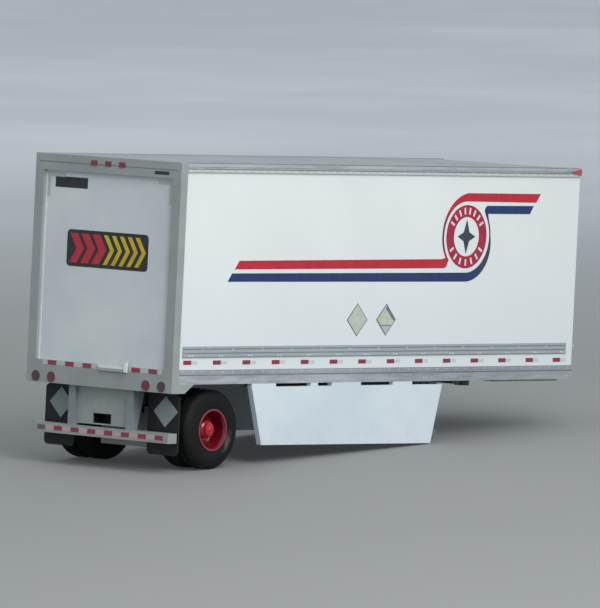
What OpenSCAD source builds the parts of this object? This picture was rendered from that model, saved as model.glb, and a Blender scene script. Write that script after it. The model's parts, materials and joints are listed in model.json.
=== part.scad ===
// Single-axle box semi trailer of the 28 ft class, as a 1:64 display model. Millimetres.
// Inside the modules the trailer is level: X to the curb side, Y forward from the rear
// face, Z up. parked() then leans the whole nose-down on its tyres and landing feet.

/* [Body] */
// Length of the van body
body_l = 133.35; // [126:0.05:162]
// Width over the rails
body_w = 40.5; // [39:0.1:49]
// Height of the roof edge
roof_z = 64.3; // [52:0.1:78]
// Underside of the bottom rails
rail_z = 18.1; // [17.9:0.05:18.4]
// Thickness of walls, roof and floor
wall_t = 1.1; // [0.8:0.05:1.4]
// How far rails and scuff bands stand out from the walls
proud = 0.35; // [0.2:0.01:0.5]
// Height of a bottom rail
rail_h = 3.0; // [2.4:0.1:3.4]
// Height of a top rail
top_rail_h = 2.0; // [1.6:0.1:2.6]

/* [Rear frame] */
// Depth of the rear frame, rear to front
frame_d = 2.15; // [1.8:0.05:2.6]
// Width of a rear post
post_w = 2.35; // [1.8:0.05:2.9]
// Height of the header over the door
header_h = 3.45; // [2.8:0.05:4.1]
// Height of the sill under the door
sill_h = 4.8; // [4:0.1:5.6]
// How far the frame hangs below the bottom rails
frame_drop = 1.9; // [1.4:0.1:2.3]
// How far the door sits in from the rear face
door_in = 0.8; // [0.4:0.05:0.9]

/* [Wheels] */
// Radius of a tyre
tyre_r = 8.35; // [7:0.05:9.8]
// Width of one tyre
tyre_w = 4.55; // [3.9:0.05:4.6]
// Gap between the twin tyres
twin_gap = 0.3; // [0.2:0.05:0.4]
// Radius of a rim where the tyre sits
rim_r = 4.1; // [3.9:0.05:5.6]
// Radius of the axle shaft
axle_r = 0.8; // [0.65:0.05:0.95]
// Radial play of a wheel on the axle shaft
axle_play = 0.05; // [0.03:0.01:0.1]

/* [Running gear] */
// Front face of the mud flaps, from the rear face
flap_y = 5.0; // [4.8:0.05:5.5]
// Space between a mud flap and the tyre in front of it
flap_gap = 2.15; // [0.6:0.05:2.8]
// Clearance of the mud flaps over the underside of the tyres
flap_lift = 2.95; // [1.5:0.05:4]
// Space between a tyre and the plate over it
tyre_gap = 0.55; // [0.4:0.05:0.7]
// Centre of a landing leg from the middle plane
leg_x = 13; // [11:0.1:14.5]
// Centre of a landing leg, back from the front of the body
leg_back = 40.35; // [32:0.05:46]
// Sole of a landing foot
foot_z = 5.15; // [4.3:0.05:6.2]
// Kingpin axis, back from the front of the body
kingpin_back = 13.2; // [11:0.05:16.5]
// Radius of the kingpin
kingpin_r = 1.7; // [1.3:0.05:2]

/* [Hidden] */

$fn = 96;
e = 0.02;
hw = body_w / 2;                       // half width over the rails
wo = hw - proud;                       // outer face of a side wall
wi = wo - wall_t;                      // inner face of a side wall
rail_top = rail_z + rail_h;
flange = 0.6;                          // thickness of the rail flanges
deck_z = rail_top - wall_t;            // underside of the floor deck
sub_t = 0.8;                           // thickness of the plates under the floor
sub_z = rail_z - sub_t;                // underside of the rear subframe
frame_z = rail_z - frame_drop;         // bottom of the rear frame
axle_z = sub_z - tyre_gap - tyre_r;
axle_y = flap_y + flap_gap + tyre_r;
tyre_x = hw - 1.35;                    // outer face of the outer tyre
twin_w = 2 * tyre_w + twin_gap;
tyre_in = tyre_x - twin_w;             // inner face of the inner tyre
twin_x = tyre_x - twin_w / 2;          // plane where the two rims meet
hub_x = tyre_x - 1.5;                  // outer face of the wheel hub
rim_t = 0.35;                          // thickness of the rim barrel
bar_top = axle_z - 0.6;                // top of the underride bar
bar_y = 1.0;                           // rear face of the bar and its posts
foot_s = 1.6;                          // half size of a foot sole
leg_s = 1.2;                           // half size of a leg's outer tube
leg_y = body_l - leg_back;
subframe_y = axle_y + tyre_r + 1.4;     // front edge of the rear subframe
kingpin_y = body_l - kingpin_back;
skirt_rear = axle_y + tyre_r + 1.82;   // upper rear corner of a side skirt
skirt_front = leg_y - leg_s - 3.14;    // upper front corner
skirt_t = 1.25;
tyre_z = axle_z - tyre_r;              // underside of the tyres
flap_x0 = tyre_in + 0.7;
flap_x1 = tyre_x - 0.3;
post_x0 = 7.2;                         // inner face of a guard post
post_x1 = 9.0;
carrier_x = 6.4;                       // half width of the axle carrier
carrier_l = 6.6;                       // half length of the axle carrier
stub_r = 1.7;                          // boss on each side of the carrier
stub_x = tyre_in + 0.8;                // end of the boss, short of the wheel hub
spring_x0 = carrier_x + 0.4;
spring_x1 = carrier_x + 2.1;
stringer_x = 8.5;
header_pitch = 3.9;                    // spacing of the header lamps
dy = leg_y + foot_s - axle_y;
dz = foot_z - axle_z;
pitch = atan2(dz, dy) + asin(tyre_r / sqrt(dy * dy + dz * dz));
latch_z = frame_z + sill_h - 1.2;       // underside of the door latch
latch_y = -0.5;                        // rear face of the latch knob
rear_y = min(frame_z * sin(pitch), latch_y * cos(pitch) + latch_z * sin(pitch));
front_y = body_l * cos(pitch) + roof_z * sin(pitch);
shift_y = -(rear_y + front_y) / 2;
shift_z = axle_y * sin(pitch) - axle_z * cos(pitch) + tyre_r;

module parked() {
  translate([0, shift_y, shift_z]) rotate([-pitch, 0, 0]) children();
}

module side(s) {
  if (s < 0) mirror([1, 0, 0]) children(); else children();
}

// A profile drawn in X and Z, run along Y from y0 to y1
module along(y0, y1) {
  translate([0, y1, 0]) rotate([90, 0, 0]) linear_extrude(y1 - y0) children();
}

// A profile drawn in Y and Z, run along X from x0 to x1
module across(x0, x1) {
  translate([x0, 0, 0]) rotate([90, 0, 90]) linear_extrude(x1 - x0) children();
}

module side_wall(s) {
  color([0.88, 0.91, 0.90]) parked() side(s)
    translate([wi, frame_d, rail_z + flange])
      cube([wall_t, body_l - frame_d, roof_z - rail_z - 2 * flange]);
}

module front_wall() {
  color([0.88, 0.91, 0.90]) parked()
    translate([-wi, body_l - wall_t, rail_z])
      cube([2 * wi, wall_t, roof_z - rail_z - wall_t]);
}

module roof_panel() {
  color([0.88, 0.91, 0.90]) parked()
    translate([-wi, frame_d, roof_z - wall_t])
      cube([2 * wi, body_l - frame_d, wall_t - 0.25]);
}

module floor_deck() {
  color([0.60, 0.63, 0.65]) parked()
    translate([-wi, frame_d, deck_z])
      cube([2 * wi, body_l - wall_t - frame_d, wall_t]);
}

// Row of crossmembers that carries the deck
module floor_crossmembers() {
  span = body_l - wall_t - frame_d;
  n = round(span / 5.4);
  color([0.45, 0.47, 0.49]) parked() for (i = [0:n - 1])
    translate([-wi + 1.1, frame_d + 0.6 + i * (span - 2.1) / (n - 1), rail_z])
      cube([2 * wi - 2.2, 0.9, deck_z - rail_z]);
}

// Two stringers under the crossmembers, between the subframe and the legs
module floor_stringers() {
  h = 1.5;
  color([0.45, 0.47, 0.49]) parked() for (s = [-1, 1])
    translate([s * stringer_x - 0.5, subframe_y, rail_z - h])
      cube([1, leg_y - leg_s - 5 - subframe_y, h]);
}

module top_rail(s) {
  color([0.60, 0.63, 0.65]) parked() side(s) along(frame_d, body_l)
    polygon([[wo, roof_z - top_rail_h], [hw, roof_z - top_rail_h],
      [hw, roof_z - top_rail_h / 2 - 0.12], [hw - 0.15, roof_z - top_rail_h / 2],
      [hw, roof_z - top_rail_h / 2 + 0.12], [hw, roof_z - 0.3], [hw - 0.3, roof_z],
      [wi, roof_z], [wi, roof_z - flange], [wo, roof_z - flange]]);
}

module bottom_rail(s) {
  m = rail_z + rail_h * 0.62;
  color([0.60, 0.63, 0.65]) parked() side(s) difference() {
    along(frame_d, body_l)
      polygon([[wi, rail_z], [hw, rail_z], [hw, m - 0.15], [hw - 0.15, m],
        [hw - 0.15, rail_top - 0.3], [wo + 0.05, rail_top], [wo, rail_top],
        [wo, rail_z + flange], [wi, rail_z + flange]]);
    translate([0, body_l, rail_z]) rotate([45, 0, 0])
      translate([wi - 1, -1, -1]) cube([wall_t + proud + 2, 2, 2]);
  }
}

module scuff_band(s) {
  z0 = rail_top + 2.6;
  h = 2.3;
  color([0.52, 0.55, 0.57]) parked() side(s) along(frame_d + 1.15, body_l - 2.45)
    polygon([[wo, z0], [wo + 0.2, z0], [hw, z0 + 0.15], [hw, z0 + 0.55],
      [wo + 0.12, z0 + 0.7], [wo + 0.12, z0 + 0.85], [hw, z0 + 1.0], [hw, z0 + 1.4],
      [wo + 0.12, z0 + 1.55], [wo + 0.12, z0 + 1.7], [hw, z0 + 1.85], [hw, z0 + h - 0.1],
      [wo, z0 + h]]);
}

module rear_frame() {
  opening_w = 2 * (hw - post_w);
  color([0.52, 0.55, 0.55]) parked() {
    difference() {
      translate([-hw, 0, frame_z]) cube([body_w, frame_d, roof_z - frame_z]);
      translate([-opening_w / 2, -1, frame_z + sill_h])
        cube([opening_w, frame_d + 2, roof_z - frame_z - sill_h - header_h]);
      translate([-hw + 1, -e, roof_z - header_h / 2 - 0.1]) cube([body_w - 2, e + 0.15, 0.2]);
    }
    for (s = [-1, 1]) side(s) across(hw - 1.25, hw)
      polygon([[frame_d - e, frame_z], [4.2, frame_z], [7.1, rail_z], [frame_d - e, rail_z]]);
  }
}

module rear_door() {
  opening_w = 2 * (hw - post_w);
  color([0.80, 0.83, 0.84]) parked()
    translate([-opening_w / 2, door_in, frame_z + sill_h])
      cube([opening_w, wall_t, roof_z - frame_z - sill_h - header_h]);
}

module door_latch() {
  top = frame_z + sill_h;
  color([0.85, 0.88, 0.88]) parked() {
    translate([0, -0.35, latch_z]) cube([7.9, 0.35, top - latch_z]);
    translate([7.2, latch_y, latch_z]) cube([0.7, -latch_y, top - latch_z + 0.9]);
  }
}

module header_lamp(x) {
  color([0.62, 0.08, 0.16]) parked()
    translate([x - 0.78, -0.2, roof_z - 1.35 - 0.5]) cube([1.56, 0.2, 1.0]);
}

module tail_lamp(x) {
  color([0.45, 0.10, 0.16]) parked()
    translate([x, 0, frame_z + 1.3]) rotate([90, 0, 0]) cylinder(r = 1.1, h = 0.2, $fn = 48);
}

module marker_lamp(s) {
  color([0.85, 0.30, 0.12]) parked() side(s) across(hw, hw + 0.18) translate([body_l, roof_z])
    polygon([[-3, -1.15], [-0.9, -1.6], [-0.05, -1.6], [-0.05, -0.35], [-0.9, -0.35],
      [-3, -0.8]]);
}

// Panel with slanted ends; four tabs on its top edge reach the bottom rail
module side_skirt(s) {
  z1 = rail_z - 0.7;
  l = skirt_front - skirt_rear;
  color([0.80, 0.85, 0.88]) parked() side(s) across(hw - skirt_t, hw) {
    polygon([[skirt_rear, z1], [skirt_rear + 3.87, foot_z],
      [skirt_front - 3.12, foot_z - 0.4], [skirt_front, z1]]);
    for (t = [[0, 0.124], [0.305, 0.037], [0.415, 0.152], [0.737, 0.102]])
      translate([skirt_rear + t[0] * l, z1 - 0.1]) square([t[1] * l, 0.8]);
  }
}

module upper_coupler() {
  color([0.35, 0.36, 0.37]) parked()
    translate([-wi + 1, kingpin_y - 11, rail_z - 0.5])
      cube([2 * wi - 2, body_l - wall_t - 1 - kingpin_y + 11, 0.5]);
}

module kingpin() {
  color([0.35, 0.36, 0.33]) parked()
    translate([0, kingpin_y, rail_z - 0.5 - 2.1]) cylinder(r = kingpin_r, h = 2.1);
}

module landing_crossmember() {
  color([0.45, 0.47, 0.49]) parked()
    translate([-wi + 0.3, leg_y + leg_s, rail_z - sub_t]) cube([2 * wi - 0.6, 2.4, sub_t]);
}

// Cross shaft that joins the two legs, with the brace plate over it
module landing_shaft() {
  x = leg_x - leg_s;
  color([0.45, 0.47, 0.49]) parked() {
    translate([0, leg_y, rail_z - 4]) rotate([0, 90, 0])
      cylinder(r = 0.4, h = 2 * x, center = true, $fn = 32);
    translate([-x, leg_y - 0.3, rail_z - 3.9]) cube([2 * x, 0.6, 3.9]);
  }
}

module landing_leg(s) {
  color([0.45, 0.49, 0.52]) parked() side(s) {
    translate([leg_x - leg_s, leg_y - leg_s, foot_z + 3.6])
      cube([2 * leg_s, 2 * leg_s, rail_z - foot_z - 3.6]);
    translate([leg_x - 0.9, leg_y - 0.9, foot_z + 1.4]) cube([1.8, 1.8, 2.4]);
    translate([leg_x - leg_s, leg_y - leg_s - 4, rail_z - sub_t]) cube([2 * leg_s, 4.2, sub_t]);
    across(leg_x - 0.35, leg_x + 0.35)
      polygon([[leg_y - 1.1, foot_z + 6], [leg_y - 1.1, foot_z + 7],
        [leg_y - 4.1, rail_z - sub_t + e], [leg_y - 5.1, rail_z - sub_t + e]]);
  }
}

module landing_foot(s) {
  color([0.45, 0.49, 0.52]) parked() side(s) difference() {
    across(leg_x - foot_s, leg_x + foot_s)
      polygon([[leg_y - foot_s, foot_z], [leg_y + foot_s, foot_z],
        [leg_y + foot_s, foot_z + 0.4], [leg_y + 1.1, foot_z + 2.2],
        [leg_y - 1.1, foot_z + 2.2], [leg_y - foot_s, foot_z + 0.4]]);
    translate([leg_x - 0.9, leg_y - 0.9, foot_z + 1.4]) cube([1.8, 1.8, 2]);
  }
}

// Plate over the axle that carries the block and the mud flaps
module rear_subframe() {
  color([0.32, 0.34, 0.35]) parked()
    translate([-wi + 0.3, flap_y, sub_z])
      cube([2 * wi - 0.6, subframe_y - flap_y, sub_t]);
}

// Moulded block that carries the shaft, open below and behind its rear plate
module axle_carrier() {
  x = carrier_x;
  color([0.44, 0.46, 0.47]) parked() difference() {
    union() {
      translate([-x, axle_y - carrier_l, axle_z - 4.45]) cube([2 * x, 2 * carrier_l, 8.45]);
      across(-x, x) polygon([[axle_y - 3, axle_z + 3.9], [axle_y + 3, axle_z + 3.9],
        [axle_y + 5.5, sub_z], [axle_y - 5.5, sub_z]]);
      translate([0, axle_y, axle_z]) rotate([0, 90, 0])
        cylinder(r = stub_r, h = 2 * stub_x, center = true);
    }
    translate([-x + 1.1, axle_y - carrier_l + 1.1, axle_z - 5])
      cube([2 * x - 2.2, 2 * carrier_l - 2.2, 3]);
    for (s = [-1, 1]) translate([s * 3.1 - 2.2, axle_y - 7, axle_z + 2.6])
      cube([4.4, 14, sub_z - axle_z - 4.4]);
    translate([-stub_x - 1, axle_y, axle_z]) rotate([0, 90, 0])
      cylinder(r = axle_r, h = 2 * stub_x + 2);
  }
}

// Leaf spring with its two hangers and the saddle on the carrier's stub
module spring_set(s) {
  x0 = spring_x0;
  x1 = spring_x1;
  half = 6.6;                          // half length of the main leaf
  z = axle_z + stub_r;
  color([0.34, 0.36, 0.37]) parked() side(s) difference() {
    union() {
      across(x0, x1) translate([axle_y, z])
        polygon([[-half, 1.9], [-half / 2, 1.05], [0, 0.8], [half / 2, 1.05],
          [half, 1.9], [half, 1.3], [half / 2, 0.5], [4.4, 0.45], [0, -0.1],
          [-4.4, 0.45], [-half / 2, 0.5], [-half, 1.3]]);
      for (k = [0, 1]) translate([0, axle_y, 0]) mirror([0, k, 0]) across(x0, x1)
        polygon([[half - 1.3, sub_z], [half - 0.6, z + 1.1], [half + 0.4, z + 1.1],
          [half + 0.8, sub_z]]);
      translate([x0, axle_y - 1.3, axle_z + 0.5]) cube([x1 - x0, 2.6, stub_r + 0.9]);
    }
    translate([x0 - 1, axle_y, axle_z]) rotate([0, 90, 0]) cylinder(r = stub_r, h = 4);
  }
}

module axle_shaft() {
  color([0.62, 0.62, 0.62]) parked() translate([0, axle_y, axle_z]) {
    rotate([0, 90, 0]) cylinder(r = axle_r, h = 2 * (hub_x + 0.15), center = true);
    for (s = [-1, 1]) side(s) translate([hub_x + 0.1, 0, 0]) rotate([0, 90, 0])
      cylinder(r = axle_r + 0.45, h = 0.35);
  }
}

// Half-profile turned about the wheel axis; first column is the distance outward
module turned(x) {
  translate([x, axle_y, axle_z]) rotate([0, 90, 0]) rotate_extrude() children();
}

module tyre_ring(x) {
  h = tyre_w / 2;
  b = rim_r;
  color([0.11, 0.12, 0.12]) parked() turned(x)
    polygon([[b, -h + 0.5], [b + 0.45, -h + 0.25], [b + 1.2, -h], [tyre_r - 1.15, -h],
      [tyre_r - 0.4, -h + 0.25], [tyre_r, -h + 0.8], [tyre_r, h - 0.8],
      [tyre_r - 0.4, h - 0.25], [tyre_r - 1.15, h], [b + 1.2, h], [b + 0.45, h - 0.25],
      [b, h - 0.5]]);
}

module tyre(s, x) {
  side(s) tyre_ring(x);
}

// Deep-dish rim of the outer wheel: hub, disc near the middle plane, barrel and lip
module rim_outer(s) {
  w = tyre_x - twin_x;
  color([0.67, 0.08, 0.14]) side(s) parked() difference() {
    turned(twin_x)
      polygon([[axle_r + axle_play, 0], [rim_r - 1.0, 0], [rim_r - rim_t - 0.3, 0.3],
        [rim_r - rim_t, 0.9], [rim_r, 0.9], [rim_r, w - 0.5], [rim_r + 0.3, w - 1 / 3],
        [rim_r + 0.3, w - 0.1], [rim_r - 0.1, w - 0.1], [rim_r - rim_t, w - 0.6],
        [rim_r - rim_t - 0.25, 1.3], [rim_r - 1.1, 0.75], [2.5, 0.75], [2.1, 1.1],
        [1.9, hub_x - twin_x - 0.3], [1.6, hub_x - twin_x], [axle_r + axle_play, hub_x - twin_x]]);
    for (i = [0:7]) translate([twin_x - 0.5, axle_y, axle_z]) rotate([i * 45, 0, 0])
      translate([0, rim_r / 2 + 0.7, 0]) rotate([0, 90, 0]) cylinder(r = 0.22, h = 2, $fn = 24);
  }
}

module rim_inner(s) {
  w = twin_x - tyre_in;
  color([0.67, 0.08, 0.14]) side(s) parked() difference() {
    turned(twin_x)
      polygon([[axle_r + axle_play, 0], [rim_r - 1.0, 0], [rim_r - rim_t - 0.3, -0.3],
        [rim_r - rim_t, -0.9], [rim_r, -0.9], [rim_r, -w + 0.5], [rim_r + 0.3, -w + 1 / 3],
        [rim_r + 0.3, -w + 0.1], [rim_r - 0.1, -w + 0.1], [rim_r - rim_t, -w + 0.6],
        [rim_r - rim_t - 0.25, -1.3], [rim_r - 1.1, -0.75], [2.1, -0.75],
        [1.9, -w + 1.2], [axle_r + axle_play, -w + 1.2]]);
    for (i = [0:7]) translate([twin_x - 1.5, axle_y, axle_z]) rotate([i * 45, 0, 0])
      translate([0, rim_r / 2 + 0.7, 0]) rotate([0, 90, 0]) cylinder(r = 0.22, h = 2, $fn = 24);
  }
}

module mud_flap(s) {
  c = 1.0;
  z = tyre_z + flap_lift;
  color([0.11, 0.12, 0.12]) parked() side(s)
    translate([0, flap_y, 0]) rotate([90, 0, 0]) linear_extrude(0.4) {
      translate([0, z + c]) polygon([[flap_x0, 0], [flap_x1, 0], [flap_x1, frame_z - z - c - 0.9],
        [flap_x1 - 1.7, frame_z - z - c + 0.2], [flap_x1 - 1.7, rail_z - z - c],
        [flap_x0, rail_z - z - c]]);
      translate([flap_x0 + c, z]) square([flap_x1 - flap_x0 - 2 * c, c + 1]);
      for (x = [flap_x0 + c, flap_x1 - c]) translate([x, z + c]) circle(r = c, $fn = 32);
    }
}

module flap_placard(s) {
  k = 2.3;
  color([0.45, 0.48, 0.49]) parked() side(s)
    translate([tyre_in + (s > 0 ? 5.6 : 4.5), flap_y - 0.4, axle_z + 3.7]) rotate([90, 0, 0])
      rotate([0, 0, 45]) translate([-k, -k, 0]) cube([2 * k, 2 * k, 0.25]);
}

// Plate between the guard posts, with the draw-bar opening at its foot
module hitch_housing() {
  plate_y = bar_y + 0.85;
  color([0.50, 0.53, 0.54]) parked() difference() {
    union() {
      across(-post_x0, post_x0) polygon([[plate_y, bar_top + 0.45], [plate_y + 1.3, bar_top + 0.45],
        [plate_y + 1.3, rail_z], [frame_d, rail_z], [frame_d, frame_z], [plate_y, frame_z]]);
      translate([-3.5, plate_y + 0.9, bar_top + 0.45]) cube([7, 3.2, 4.4]);
    }
    translate([-2.75, plate_y - 1, bar_top + 0.75]) cube([5.1, 4.2, 2.1]);
  }
}

module underride_bar() {
  x = hw - 1.25;
  color([0.45, 0.48, 0.49]) parked() difference() {
    translate([-x, bar_y, bar_top - 2.1]) cube([2 * x, 2.8, 2.1]);
    translate([-x + 0.8, bar_y + 0.7, bar_top - 2.2]) cube([2 * x - 1.6, 1.4, 1.6]);
  }
}

module underride_post(s) {
  color([0.68, 0.72, 0.73]) parked() side(s) across(post_x0, post_x1)
    polygon([[bar_y, bar_top], [bar_y + 1.6, bar_top], [4.5, rail_z - 2.5], [4.5, rail_z],
      [frame_d, rail_z], [frame_d, frame_z], [bar_y, frame_z]]);
}

side_wall(-1);  // side_wall_left
side_wall(1);  // side_wall_right
front_wall();
roof_panel();
floor_deck();
floor_crossmembers();
floor_stringers();
top_rail(-1);  // top_rail_left
top_rail(1);  // top_rail_right
bottom_rail(-1);  // bottom_rail_left
bottom_rail(1);  // bottom_rail_right
scuff_band(-1);  // scuff_band_left
scuff_band(1);  // scuff_band_right
rear_frame();
rear_door();
door_latch();
header_lamp(-header_pitch);  // header_lamp_left
header_lamp(0);  // header_lamp_centre
header_lamp(header_pitch);  // header_lamp_right
tail_lamp(-hw + 2.75);  // tail_lamp_left_outer
tail_lamp(-hw + 7.05);  // tail_lamp_left_inner
tail_lamp(hw - 7.05);  // tail_lamp_right_inner
tail_lamp(hw - 2.75);  // tail_lamp_right_outer
marker_lamp(-1);  // marker_lamp_left
marker_lamp(1);  // marker_lamp_right
side_skirt(-1);  // side_skirt_left
side_skirt(1);  // side_skirt_right
upper_coupler();
kingpin();
landing_crossmember();
landing_shaft();
landing_leg(-1);  // landing_leg_left
landing_leg(1);  // landing_leg_right
landing_foot(-1);  // landing_foot_left
landing_foot(1);  // landing_foot_right
rear_subframe();
axle_carrier();
axle_shaft();
spring_set(-1);  // spring_set_left
spring_set(1);  // spring_set_right
tyre(-1, tyre_x - tyre_w / 2);  // tyre_left_outer
tyre(-1, tyre_in + tyre_w / 2);  // tyre_left_inner
rim_outer(-1);  // rim_left_outer
rim_inner(-1);  // rim_left_inner
tyre(1, tyre_x - tyre_w / 2);  // tyre_right_outer
tyre(1, tyre_in + tyre_w / 2);  // tyre_right_inner
rim_outer(1);  // rim_right_outer
rim_inner(1);  // rim_right_inner
mud_flap(-1);  // mud_flap_left
mud_flap(1);  // mud_flap_right
flap_placard(-1);  // flap_placard_left
flap_placard(1);  // flap_placard_right
hitch_housing();
underride_bar();
underride_post(-1);  // underride_post_left
underride_post(1);  // underride_post_right
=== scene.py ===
# %% The frame
import json
import math

import bmesh
import bpy
from mathutils import Matrix, Vector


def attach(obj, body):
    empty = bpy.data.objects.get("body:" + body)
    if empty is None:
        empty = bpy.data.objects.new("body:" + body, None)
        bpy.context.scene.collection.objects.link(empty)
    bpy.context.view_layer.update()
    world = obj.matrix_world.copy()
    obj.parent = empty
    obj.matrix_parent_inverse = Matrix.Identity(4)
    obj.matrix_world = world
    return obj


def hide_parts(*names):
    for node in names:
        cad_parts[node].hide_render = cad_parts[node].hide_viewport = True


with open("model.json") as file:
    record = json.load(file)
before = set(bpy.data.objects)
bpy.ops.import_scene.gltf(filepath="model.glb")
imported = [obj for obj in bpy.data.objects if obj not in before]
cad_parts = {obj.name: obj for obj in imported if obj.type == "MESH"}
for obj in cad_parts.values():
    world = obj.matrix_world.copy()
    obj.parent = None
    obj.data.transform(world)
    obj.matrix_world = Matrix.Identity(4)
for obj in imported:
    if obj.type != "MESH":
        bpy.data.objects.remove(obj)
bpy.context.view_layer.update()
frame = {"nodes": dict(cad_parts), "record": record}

# %% [markdown]
# The model trailer rests nose-down on four tyres and two landing feet, so nothing on it
# is square to the floor. Every outline below is easier to draw on a level trailer, in
# millimetres. The kingpin stands square to the floor deck, so the lean is read from its
# axis, and one matrix, LEVEL, takes level millimetres to the metres of the frame.

# %% Level millimetres
MM = 0.001
KINGPIN_Y, KINGPIN_Z = 120.15, 16.55    # middle of the kingpin on the level trailer

kingpin = next(m for m in frame["record"]["mounts"] if m["name"] == "kingpin")
lean = math.atan2(-kingpin["axis"][1], -kingpin["axis"][2])
turn = Matrix.Rotation(-lean, 4, "X")
shift = Vector(kingpin["pos_m"]) - turn @ Vector((0, KINGPIN_Y, KINGPIN_Z)) * MM
LEVEL = Matrix.Translation(shift) @ turn @ Matrix.Scale(MM, 4)
TO_LEVEL = LEVEL.inverted()
print("the trailer leans nose-down by", round(math.degrees(lean), 2), "degrees")


def level_box(name):
    """Lowest and highest corner of a CAD node on the level trailer, in millimetres."""
    corners = [TO_LEVEL @ v.co for v in frame["nodes"][name].data.vertices]
    low = Vector([min(c[i] for c in corners) for i in range(3)])
    high = Vector([max(c[i] for c in corners) for i in range(3)])
    return low, high


wall = level_box("side_wall_right")
top_rail = level_box("top_rail_right")
low_rail = level_box("bottom_rail_right")
band = level_box("scuff_band_right")
rear = level_box("rear_frame")
door = level_box("rear_door")
guard = level_box("underride_bar")
tyre = level_box("tyre_right_outer")
WALL_X = wall[1].x
print("side wall face at", round(WALL_X, 2), "mm; body length", round(wall[1].y, 2), "mm")

# %% [markdown]
# Shader maths reads best as plain expressions. Wire wraps one socket and overloads the
# operators that are used, so that 1 - mask adds a Math node. Every other node comes from
# Finish.node, which takes the node's type, its settings and its inputs.

# %% Shader helpers


class Wire:
    """One shader socket with ordinary arithmetic."""

    def __init__(self, finish, socket):
        self.finish = finish
        self.socket = socket

    def math(self, operation, *others):
        inputs = dict(enumerate((self,) + others))
        return self.finish.node("ShaderNodeMath", {"operation": operation}, inputs)

    def __add__(self, other):
        return self.math("ADD", other)

    def __sub__(self, other):
        return self.math("SUBTRACT", other)

    def __rsub__(self, other):
        return self.math("MULTIPLY_ADD", -1.0, other)

    def __mul__(self, other):
        return self.math("MULTIPLY", other)

    def __truediv__(self, other):
        return self.math("DIVIDE", other)

    __radd__ = __add__
    __rmul__ = __mul__

    def step(self, low, high):
        """0 below low, 1 above high, smooth between."""
        return self.finish.node("ShaderNodeMapRange", {"interpolation_type": "SMOOTHSTEP"},
                                {"Value": self, "From Min": low, "From Max": high})

    def between(self, low, high, soft):
        """1 between low and high, with soft edges."""
        return self.step(low - soft, low + soft) * (1 - self.step(high - soft, high + soft))


def ink(red, green, blue):
    """A display colour, 0 to 255, as the linear RGBA that shaders take."""
    def linear(c):
        c /= 255
        return c / 12.92 if c <= 0.04045 else ((c + 0.055) / 1.055) ** 2.4
    return (linear(red), linear(green), linear(blue), 1.0)


class Finish:
    """A material under construction, with its pattern space in level millimetres."""

    def __init__(self, name):
        self.material = bpy.data.materials.new(name)
        self.material.use_nodes = True
        self.tree = self.material.node_tree
        self.tree.nodes.clear()
        coords = self.node("ShaderNodeTexCoord", output="Object")
        spin = Matrix.Rotation(lean, 3, "X")
        self.mm = self.node("ShaderNodeMapping", {}, {
            "Vector": coords, "Scale": (1 / MM,) * 3, "Rotation": (lean, 0, 0),
            "Location": -(spin @ shift) / MM})

    def node(self, kind, settings=None, inputs=None, output=0):
        made = self.tree.nodes.new(kind)
        for key, value in (settings or {}).items():
            setattr(made, key, value)
        for key, value in (inputs or {}).items():
            if isinstance(value, Wire):
                self.tree.links.new(value.socket, made.inputs[key])
            else:
                made.inputs[key].default_value = value
        return None if output is None else Wire(self, made.outputs[output])

    def axis(self, name):
        return self.node("ShaderNodeSeparateXYZ", {}, {0: self.mm}, name)

    def noise(self, scale, detail=3, stretch=(1, 1, 1), offset=0.0):
        place = self.node("ShaderNodeMapping", {}, {
            "Vector": self.mm, "Scale": stretch, "Location": (offset, offset, offset)})
        return self.node("ShaderNodeTexNoise", {}, {
            "Vector": place, "Scale": scale, "Detail": detail, "Roughness": 0.55})

    def blend(self, factor, first, second, mode="MIX"):
        """first where factor is 0, second where it is 1."""
        return self.node("ShaderNodeMix", {"data_type": "RGBA", "blend_type": mode},
                         {0: factor, 6: first, 7: second}, output=2)

    def bump(self, height, distance, strength=1.0):
        return self.node("ShaderNodeBump", {}, {
            "Height": height, "Distance": distance * MM, "Strength": strength})

    def surface(self, **inputs):
        """Ends the material in one Principled shader; inputs are named in snake_case."""
        titles = {"ior": "IOR", "specular_ior_level": "Specular IOR Level"}
        shader = self.node("ShaderNodeBsdfPrincipled", {}, {
            titles.get(key, key.replace("_", " ").title()): value
            for key, value in inputs.items()})
        self.node("ShaderNodeOutputMaterial", {}, {"Surface": shader}, output=None)
        return self.material


# %% [markdown]
# Most of the model is moulded plastic with thin, sprayed paint. Such a surface has a
# faint cloudiness, a fine orange-peel bump and dust that settles near the bottom of each
# part, so one helper gives those three and each finish adds its own marks.

# %% Sprayed plastic


def sprayed(name, colour, cloud, rough, peel=0.012, coat=0.25, cloud_size=0.06, dirt=0.0,
            dirt_below=18.0, low_shade=None):
    """Painted plastic: cloudy colour, orange peel, a little dust low down and, where a low tint is
    given, painted shade low down.
    """
    f = Finish(name)
    mist = f.noise(cloud_size, 4)
    fine = f.noise(2.2, 2, offset=7.0)
    colours = f.blend(mist.step(0.3, 0.7), colour, cloud)
    # Painted shade: the colour turns darker and bluer towards the bottom, for the shade on the
    # lower wall.
    if low_shade:
        colours = f.blend((1 - f.axis("Z").step(22, 58)) * 0.8, colours, low_shade)
    if dirt:
        low = 1 - f.axis("Z").step(dirt_below - 6, dirt_below + 4)
        specks = f.noise(0.8, 5, offset=3.0).step(0.42, 0.75)
        colours = f.blend(low * specks * dirt, colours, ink(96, 98, 96))
    return f.surface(
        base_color=colours, roughness=rough + (fine - 0.5) * 0.12, coat_weight=coat,
        coat_roughness=0.2, specular_ior_level=0.45,
        normal=f.bump(f.noise(3.5, 2, offset=1.0), peel))


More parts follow.
